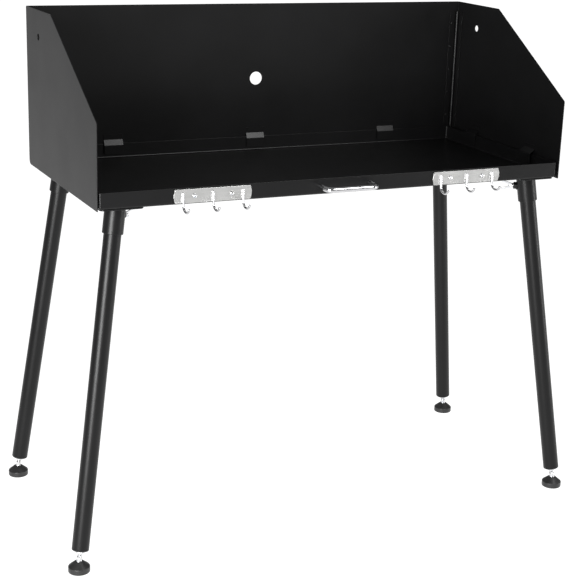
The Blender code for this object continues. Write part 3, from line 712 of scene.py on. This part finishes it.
def build_leaf(label, which):
    """A hinge leaf: a thin plate, its rolled knuckles, and the domed rivets that hold it to its panel."""
    side = SIDES[label]
    turned_by = 90 + 90 * side if which == "back" else -90
    flip = -side if which == "back" else side
    pivot = hinge_frame(label)
    if which == "back":
        # The back panel has no toe-in
        pivot = Matrix.Translation(pivot.translation)
    place = pivot @ Matrix.Rotation(math.radians(turned_by), 4, "Z")
    spans = knuckles(label)
    low, high = spans[0][0], spans[-1][1]
    upright = Matrix.Translation((0, flip * LEAF_ACROSS, 0)) @ FACING_FRONT
    bm = bmesh.new()
    outline = [(LEAF_START, low, 0), (LEAF_END, low, LEAF_CORNER)]
    outline += [(LEAF_END, high, LEAF_CORNER), (LEAF_START, high, 0)]
    add_mesh(bm, sheet(rounded(outline, steps=4), [], LEAF_SHEET, LEAF_EDGE), place @ upright)
    for bottom, top in spans[0 if which == "back" else 1 :: 2]:
        outline = [(0, bottom), (LEAF_TAB, bottom), (LEAF_TAB, top), (0, top)]
        add_mesh(bm, sheet(outline, [], LEAF_SHEET, LEAF_EDGE), place @ upright)
        profile = [(KNUCKLE_BORE, top), (KNUCKLE_RADIUS - PIN_EDGE, top), (KNUCKLE_RADIUS, top - PIN_EDGE)]
        profile += [(KNUCKLE_RADIUS, bottom + PIN_EDGE), (KNUCKLE_RADIUS - PIN_EDGE, bottom)]
        profile += [(KNUCKLE_BORE, bottom)]
        turned(bm, profile, steps=32, loop=True, matrix=place)
    facing = Matrix.Rotation(math.radians(90 * flip), 4, "X")
    for index in range(RIVETS):
        height = low + (high - low) * (index + 0.5) / RIVETS
        head = Matrix.Translation((RIVET_ALONG, flip * RIVET_ACROSS, height)) @ facing
        turned(bm, RIVET_DOME, steps=20, matrix=place @ head)
    name = f"hinge_{which}_leaf_{label}"
    finish_piece(name, bm, BLACK, "windscreen", [name])


def build_pin(label):
    low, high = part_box(f"hinge_pin_{label}")
    centre = (low + high) / 2
    bm = bmesh.new()
    profile = [(0, high.z), (PIN_RADIUS - PIN_EDGE, high.z), (PIN_RADIUS, high.z - PIN_EDGE)]
    profile += [(PIN_RADIUS, low.z + PIN_EDGE), (PIN_RADIUS - PIN_EDGE, low.z), (0, low.z)]
    turned(bm, profile, steps=20, matrix=Matrix.Translation((centre.x, centre.y, 0)))
    name = f"hinge_pin_{label}"
    finish_piece(name, bm, ZINC, "windscreen", [name])


# ---------------------------------------------------------------- legs

def axis_frame(joint, upwards):
    """A frame at a joint's place, its Z axis along the joint's axis, or against it with upwards."""
    axis = Vector(joint["axis"]).normalized()
    z = -axis if upwards else axis
    x = Vector((0, 0, 1)).cross(z).normalized()
    turn = Matrix((x, z.cross(x), z)).transposed().to_4x4()
    return Matrix.Translation(joint["pos_m"]) @ turn


def leg_frame(corner):
    """The frame of a leg, its origin where the leg meets the tray's underside, and its length to the ball."""
    ball = axis_frame(JOINTS[f"stud_turn_{corner}"], upwards=True)
    up = ball.to_3x3() @ Vector((0, 0, 1))
    length = (TRAY_LOW.z - ball.translation.z) / up.z
    return Matrix.Translation(up * length) @ ball, length


def on_plane(matrix, height):
    """A shape for turned(): it moves points at 0 and above along the leg onto the level plane at a height."""
    def shape(radius, along, angle):
        if along < 0:
            return radius, along
        x, y = radius * math.cos(angle), radius * math.sin(angle)
        row = matrix[2]
        return radius, (height - row[3] - row[0] * x - row[1] * y) / row[2]
    return shape


def build_socket(corner):
    leg, _ = leg_frame(corner)
    bolt = axis_frame(JOINTS[f"wing_bolt_turn_{corner}"], upwards=False)
    low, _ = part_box(f"socket_plate_{corner}")
    under = low.z - GAP
    bm = bmesh.new()
    edge = SLEEVE_EDGE
    profile = [(SLEEVE_BORE, 0), (SLEEVE_RADIUS, 0), (SLEEVE_RADIUS, -SLEEVE_LENGTH + edge)]
    profile += arc((SLEEVE_RADIUS - edge, -SLEEVE_LENGTH + edge), edge, -20, -90, 3)
    profile += [(SLEEVE_BORE + edge, -SLEEVE_LENGTH), (SLEEVE_BORE, -SLEEVE_LENGTH + edge)]
    turned(bm, profile, steps=72, loop=True, shape=on_plane(leg, under), matrix=leg)
    # Boss
    root = SLEEVE_RADIUS - BOSS_ROOT
    profile = [(BOSS_BORE, BOSS_FACE), (BOSS_RADIUS - BOSS_CHAMFER, BOSS_FACE)]
    profile += [(BOSS_RADIUS, BOSS_FACE - BOSS_CHAMFER), (BOSS_RADIUS, root), (BOSS_BORE, root)]
    turned(bm, profile, steps=40, loop=True, matrix=bolt)
    # Fillet weld where the boss meets the sleeve
    bead = []
    for x, y in circle(BOSS_RADIUS + BOSS_BEAD_OUT, 96):
        bead.append(bolt @ Vector((x, y, math.sqrt(SLEEVE_RADIUS**2 - x**2) + BOSS_BEAD_LIFT)))
    weld_bead(bm, bead, BOSS_BEAD, 3)
    # Weld round the sleeve's top
    ring = []
    shape = on_plane(leg, under - SLEEVE_BEAD_DROP)
    for k in range(240):
        angle = 2 * math.pi * k / 240
        r, z = shape(SLEEVE_RADIUS + SLEEVE_BEAD_OUT, 0, angle)
        ring.append(leg @ Vector((r * math.cos(angle), r * math.sin(angle), z)))
    weld_bead(bm, ring, SLEEVE_BEAD, 5)
    name = f"leg_socket_{corner}"
    finish_piece(name, bm, BLACK, "table", [name], sharp=50)


def weld_bead(bm, path, radius, ripple):
    """Adds a closed bead whose section swells with each dab of the weld."""
    sections = []
    for index in range(len(path)):
        dab = abs(math.sin(math.pi * index / (2 * ripple)))
        sections.append(circle(radius * (1 - BEAD_SWELL + BEAD_SWELL * dab), 12))
    swept(bm, path, sections, closed=True)


def build_plate(corner):
    low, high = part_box(f"socket_plate_{corner}")
    bm = bmesh.new()
    half = (high.x - low.x) / 2
    corners = [(x * half, y * half, PLATE_CORNER) for x, y in ((1, 1), (-1, 1), (-1, -1), (1, -1))]
    mesh = sheet(rounded(corners, steps=6), [], high.z - low.z, PLATE_EDGE)
    add_mesh(bm, mesh, Matrix.Translation((low + high) / 2))
    out = half * SPOT_WELD_SHARE
    for x_sign in (-1, 1):
        for y_sign in (-1, 1):
            spot = (low + high) / 2 + Vector((x_sign * out, y_sign * out, (low.z - high.z) / 2))
            turned(bm, SPOT_WELD, steps=24, matrix=Matrix.Translation(spot))
    name = f"socket_plate_{corner}"
    finish_piece(name, bm, BLACK, "table", [name])


def build_tube(corner):
    leg, _ = leg_frame(corner)
    inner = TUBE_RADIUS - TUBE_WALL
    edge = TUBE_EDGE
    profile = [(inner, -TUBE_START), (TUBE_RADIUS - edge, -TUBE_START), (TUBE_RADIUS, -TUBE_START - edge)]
    profile += [(TUBE_RADIUS, -TUBE_END * k / 6) for k in range(1, 6)]
    profile += [(TUBE_RADIUS, -TUBE_END + edge), (TUBE_RADIUS - edge, -TUBE_END), (inner, -TUBE_END)]
    bm = bmesh.new()
    turned(bm, profile, steps=64, loop=True, matrix=leg)
    name = f"leg_tube_{corner}"
    finish_piece(name, bm, BLACK, f"leg_{corner}", [name])


def build_plug(corner):
    leg, _ = leg_frame(corner)
    insert = TUBE_RADIUS - TUBE_WALL - GAP
    top = -TUBE_END - GAP
    profile = [(insert, -TUBE_END + PLUG_INSERT), (insert, top)]
    profile += [(TUBE_RADIUS - PLUG_EDGE, top), (TUBE_RADIUS, top - PLUG_EDGE)]
    profile += arc((TUBE_RADIUS - PLUG_FILLET, -PLUG_END + PLUG_FILLET), PLUG_FILLET, 0, -90, 6)
    profile += [(radius, -PLUG_END + depth) for radius, depth in PLUG_GROOVE]
    profile += [(PLUG_BORE + PLUG_CHAMFER, -PLUG_END), (PLUG_BORE, -PLUG_END + PLUG_CHAMFER)]
    profile += [(PLUG_BORE, -TUBE_END + PLUG_INSERT)]
    bm = bmesh.new()
    turned(bm, profile, steps=64, loop=True, matrix=leg)
    name = f"leg_end_plug_{corner}"
    finish_piece(name, bm, PLASTIC, f"leg_{corner}", [name])


def build_nut(corner):
    """A hexagon nut with both faces chamfered, so that each flat ends in an arc."""
    leg, _ = leg_frame(corner)
    top = -PLUG_END - GAP
    bottom = top - NUT_HEIGHT
    flats = NUT_FLATS / 2
    start = flats * NUT_FACE_SHARE

    def hexagon(radius, height, angle):
        if radius < flats:
            return radius, height
        lean = (angle + math.pi / 6) % (math.pi / 3) - math.pi / 6
        reach = flats / math.cos(lean)
        drop = (reach - start) * math.tan(math.radians(30))
        return reach, height - drop if height > (top + bottom) / 2 else height + drop

    profile = [(NUT_BORE, top - NUT_CHAMFER), (NUT_LEAD_IN, top), (start, top), (flats, top)]
    profile += [(flats, bottom), (start, bottom), (NUT_LEAD_IN, bottom), (NUT_BORE, bottom + NUT_CHAMFER)]
    bm = bmesh.new()
    turned(bm, profile, steps=96, loop=True, shape=hexagon, matrix=leg)
    name = f"lock_nut_{corner}"
    finish_piece(name, bm, ZINC, f"leg_{corner}", [name], sharp=25)


def thread_rows(top, bottom, radius, pitch):
    """(radius, height) rows down a thread."""
    count = round((top - bottom) / pitch * THREAD_ROWS)
    return [(radius, top + (bottom - top) * index / count) for index in range(count + 1)]


def thread_shape(radius, pitch, depth, top, bottom):
    """A shape for turned(): a sharp thread cut into a rod between two heights, fading out at both ends."""
    def shape(r, z, angle):
        if abs(r - radius) > 0.000001 or not bottom < z < top:
            return r, z
        phase = (z / pitch - angle / (2 * math.pi)) % 1.0
        fade = min(1.0, (top - z) / pitch, (z - bottom) / pitch)
        return r - depth * fade * abs(2 * phase - 1), z
    return shape


def build_stud(corner):
    leg, length = leg_frame(corner)
    ball = -length
    top = ball + STUD_LENGTH
    collar = ball + STUD_COLLAR
    start, end = top - STUD_CHAMFER, collar + STUD_COLLAR_EDGE
    profile = [(0, top), (STUD_RADIUS - STUD_CHAMFER, top)] + thread_rows(start, end, STUD_RADIUS, STUD_PITCH)
    profile += [(STUD_COLLAR_RADIUS, collar - STUD_COLLAR_CHAMFER), (STUD_COLLAR_RADIUS, ball + BALL_NECK)]
    profile += arc((0, ball), BALL_RADIUS, 33, -85, 12) + [(0, ball - BALL_RADIUS)]
    bm = bmesh.new()
    shape = thread_shape(STUD_RADIUS, STUD_PITCH, STUD_THREAD_DEPTH, start, end)
    turned(bm, profile, steps=32, shape=shape, matrix=leg)
    name = f"foot_stud_{corner}"
    finish_piece(name, bm, ZINC, f"stud_{corner}", [name])


def build_pad(corner):
    """A round foot: a cavity for the stud's ball, a snap lip round it, a sloping skirt and grooves below."""
    low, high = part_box(f"foot_pad_{corner}")
    centre = (low + high) / 2
    mouth = math.degrees(math.asin((PAD_HEIGHT - BALL_HEIGHT) / PAD_CAVITY))
    profile = arc((0, BALL_HEIGHT), PAD_CAVITY, -89, mouth - 4, 14)
    radius, height = profile[-1]
    line = [(radius, height, 0), (radius + PAD_MOUTH_EDGE, PAD_HEIGHT, PAD_MOUTH_EDGE), *PAD_OUTSIDE]
    profile = profile[:-1] + rounded(line, steps=6, closed=False)
    for groove in PAD_GROOVES:
        profile += [(groove + out, depth) for out, depth in GROOVE]
    profile = [(0, BALL_HEIGHT - PAD_CAVITY)] + profile[1:] + [(0, 0)]
    bm = bmesh.new()
    turned(bm, profile, steps=72, matrix=Matrix.Translation((centre.x, centre.y, 0)))
    name = f"foot_pad_{corner}"
    finish_piece(name, bm, PLASTIC, f"foot_{corner}", [name], sharp=40)


def build_wing_bolt(corner):
    """A pressed wing bolt: a tapered hub, two swept ears with rounded tips and a threaded shank."""
    bolt = axis_frame(JOINTS[f"wing_bolt_turn_{corner}"], upwards=False)
    place = bolt @ Matrix.Rotation(math.radians(BOLT_TURNS[corner]), 4, "Z")
    neck = BOSS_FACE + GAP
    bm = bmesh.new()
    start = neck - BOLT_THREAD_GAP
    profile = [*BOLT_HEAD, (BOLT_HUB_RADIUS, neck + BOLT_HUB_CHAMFER), (BOLT_HUB_FOOT, neck)]
    profile += [(BOLT_RADIUS, neck)]
    profile += thread_rows(start, BOLT_THREAD_END, BOLT_RADIUS, BOLT_PITCH)
    profile += [(BOLT_RADIUS - BOLT_THREAD_DEPTH, BOLT_TIP), (0, BOLT_TIP)]
    shape = thread_shape(BOLT_RADIUS, BOLT_PITCH, BOLT_THREAD_DEPTH, start, BOLT_THREAD_END)
    turned(bm, profile, steps=32, shape=shape, matrix=place)
    level = Vector((0, 1, 0))
    for sign in (-1, 1):
        path = [Vector((sign * out, 0, up)) for out, up, _, _ in EAR]
        rings = []
        for index, (point, (_, _, width, depth)) in enumerate(zip(path, EAR)):
            ahead, behind = path[min(index + 1, len(path) - 1)], path[max(index - 1, 0)]
            along = (ahead - behind).normalized()
            across = along.cross(level).normalized()
            ring = [place @ (point + across * x * width + level * y * depth) for x, y in circle(1.0, 24)]
            rings.append(ring)
        skin(bm, rings)
    name = f"wing_bolt_{corner}"
    finish_piece(name, bm, ZINC, f"bolt_{corner}", [name])


# ---------------------------------------------------------------- front rim

def build_rail(label):
    """A hook rail: a flat bar with bowed ends and two screw holes, and its three hooks."""
    low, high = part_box(f"hook_rail_{label}")
    centre = (low + high) / 2
    half, rise = (high.x - low.x) / 2, (high.z - low.z) / 2
    radius = (rise**2 + RAIL_BULGE**2) / (2 * RAIL_BULGE)
    angle = math.degrees(math.asin(rise / radius))
    right = arc((half - radius, 0), radius, -angle + RAIL_CORNER_TURN, angle - RAIL_CORNER_TURN, 10)
    right = [(right[0][0] - RAIL_CORNER, -rise)] + right + [(right[-1][0] - RAIL_CORNER, rise)]
    outline = right + [(-x, -y) for x, y in right]
    holes = [[(side * RAIL_HOLE_SPOT + a, b) for a, b in circle(RAIL_HOLE, 24)] for side in (-1, 1)]
    bm = bmesh.new()
    mesh = sheet(outline, holes, high.y - low.y, RAIL_EDGE)
    add_mesh(bm, mesh, Matrix.Translation(centre) @ FACING_FRONT)
    name = f"hook_rail_{label}"
    finish_piece(name, bm, STAINLESS, "table", [name])
    for number in (1, 2, 3):
        build_hook(f"hook_{label}_{number}")


def build_hook(name):
    """A J-hook of round wire: a stem down the rail's face, then a half turn forwards and up."""
    low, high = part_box(name)
    radius = (high.x - low.x) / 2
    x = (low.x + high.x) / 2
    stem = high.y - radius
    bend = TRAY_LOW.z - HOOK_BEND_DROP
    depth = bend - radius - low.z
    drops = (0, radius * WIRE_DOME_SHARE, *HOOK_STEM_ROWS)
    path = [(x, stem, high.z - drop) for drop in drops] + [(x, stem, bend + HOOK_LEAD)]
    for step in range(HOOK_BEND_STEPS + 1):
        angle = math.pi * step / HOOK_BEND_STEPS
        path.append((x, stem - HOOK_REACH * (1 - math.cos(angle)), bend - depth * math.sin(angle)))
    bm = bmesh.new()
    rod(bm, path, radius, steps=28)
    finish_piece(name, bm, POLISHED, "table", [name])


def build_handle():
    """The handle: a round bar out of the rim, along it and back, drawn flat and then tipped forwards."""
    low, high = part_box("handle")
    radius = HANDLE_RADIUS
    half = (high.x - low.x) / 2 - radius
    outreach = high.y - low.y - radius + GAP
    corner = (half - HANDLE_BEND, outreach - HANDLE_BEND)
    right = [(half, GAP), (half, HANDLE_ROOT), (half, corner[1] / 2)] + arc(corner, HANDLE_BEND, 0, 90, 14)
    grip = [(x, outreach) for x in (HANDLE_STEP, 0.0, -HANDLE_STEP)]
    flat = right + grip + [(-x, y) for x, y in reversed(right)]
    top, bottom = high.z - radius, low.z + radius
    face = high.y + GAP
    path = []
    for x, out in flat:
        path.append((x, face - out, top + (bottom - top) * (out - GAP) / outreach))
    bm = bmesh.new()
    swept(bm, path, [circle(radius, 36)] * len(path))
    finish_piece("handle", bm, POLISHED, "table", ["handle"])


def build_screw(name, facing):
    """A pan-head screw along Y with a cross recess; facing is the side its head points to."""
    low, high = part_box(name)
    centre = (low + high) / 2
    seat = high.y - SCREW_HEAD if facing > 0 else low.y + SCREW_HEAD
    length = high.y - low.y - SCREW_HEAD
    end = -length + SCREW_THREAD_GAP

    def recess(radius, height, angle):
        if height <= RECESS_LOWEST or radius > RECESS_REACH:
            return radius, height
        x, y = abs(radius * math.cos(angle)), abs(radius * math.sin(angle))
        inside = min(x, y) < RECESS_HALF_WIDTH and max(x, y) < RECESS_RADIUS
        return radius, height - (RECESS_FLOOR - RECESS_SLOPE * radius / RECESS_RADIUS if inside else 0.0)

    crown = [(SCREW_CROWN_ROW * k, SCREW_HEAD - SCREW_CROWN_FALL * k**2) for k in range(1, 13)]
    profile = [(0, RECESS_FLOOR), *crown, *SCREW_RIM, (SCREW_RADIUS, 0.0)]
    profile += thread_rows(-SCREW_THREAD_GAP, end, SCREW_RADIUS, SCREW_PITCH)
    profile += [(SCREW_TIP, -length), (0, -length)]
    thread = thread_shape(SCREW_RADIUS, SCREW_PITCH, SCREW_THREAD_DEPTH, -SCREW_THREAD_GAP, end)

    def shape(radius, height, angle):
        return thread(*recess(radius, height, angle), angle)

    bm = bmesh.new()
    turn = Matrix.Rotation(math.radians(-90 * facing), 4, "X")
    place = Matrix.Translation((centre.x, seat, centre.z)) @ turn
    turned(bm, profile, steps=64, shape=shape, matrix=place)
    finish_piece(name, bm, ZINC, "table", [name], sharp=45)


# ---------------------------------------------------------------- studio

def add_camera():
    azimuth, elevation, roll = (math.radians(v) for v in (CAMERA_AZIMUTH, CAMERA_ELEVATION, CAMERA_ROLL))
    level = math.cos(elevation)
    back = Vector((math.sin(azimuth) * level, -math.cos(azimuth) * level, math.sin(elevation)))
    right = Vector((math.cos(azimuth), math.sin(azimuth), 0))
    up = back.cross(right)
    level_right = math.cos(roll) * right + math.sin(roll) * up
    level_up = -math.sin(roll) * right + math.cos(roll) * up
    data = bpy.data.cameras.new("camera")
    data.lens = CAMERA_LENS_MM
    data.sensor_width = CAMERA_SENSOR_MM
    camera = bpy.data.objects.new("camera", data)
    target = Vector((TARGET_X, MIDDLE_Y, BACK_LOW.z - TARGET_DROP))
    turn = Matrix((level_right, level_up, back)).transposed().to_4x4()
    camera.matrix_world = Matrix.Translation(target + back * CAMERA_DISTANCE) @ turn
    bpy.context.scene.collection.objects.link(camera)
    bpy.context.scene.camera = camera


def add_softbox(name, place, aim, size, power, spread):
    data = bpy.data.lights.new(name, "AREA")
    data.shape = "RECTANGLE"
    data.size, data.size_y = size
    data.energy = power
    data.spread = math.radians(spread)
    light = bpy.data.objects.new(name, data)
    light.location = place
    light.rotation_mode = "QUATERNION"
    light.rotation_quaternion = (Vector(place) - Vector(aim)).to_track_quat("Z", "Y")
    bpy.context.scene.collection.objects.link(light)


def add_floor():
    bm = bmesh.new()
    bmesh.ops.create_circle(bm, cap_ends=True, radius=FLOOR_RADIUS, segments=96)
    mesh = bpy.data.meshes.new("floor")
    bm.to_mesh(mesh)
    bm.free()
    mesh.materials.append(studio_floor())
    floor = bpy.data.objects.new("floor", mesh)
    bpy.context.scene.collection.objects.link(floor)


def add_world():
    world = bpy.data.worlds.new("studio")
    world.use_nodes = True
    sky = world.node_tree.nodes["Background"]
    sky.inputs["Color"].default_value = (1.0, 1.0, 1.0, 1.0)
    sky.inputs["Strength"].default_value = SKY_STRENGTH
    bpy.context.scene.world = world


build_tray()
build_back()
for label in SIDES:
    build_wing(label)
    build_leaf(label, "back")
    build_leaf(label, "wing")
    build_pin(label)
    build_rail(label)
    build_screw(f"handle_screw_{label}", 1)
    for number in (1, 2):
        build_screw(f"rail_screw_{label}_{number}", -1)
build_handle()
for corner in CORNERS:
    build_plate(corner)
    build_socket(corner)
    build_wing_bolt(corner)
    build_tube(corner)
    build_plug(corner)
    build_nut(corner)
    build_stud(corner)
    build_pad(corner)

add_floor()
add_world()
add_camera()
for softbox in SOFTBOXES:
    add_softbox(*softbox)

bpy.context.scene.view_settings.view_transform = "Standard"
bpy.context.view_layer.update()
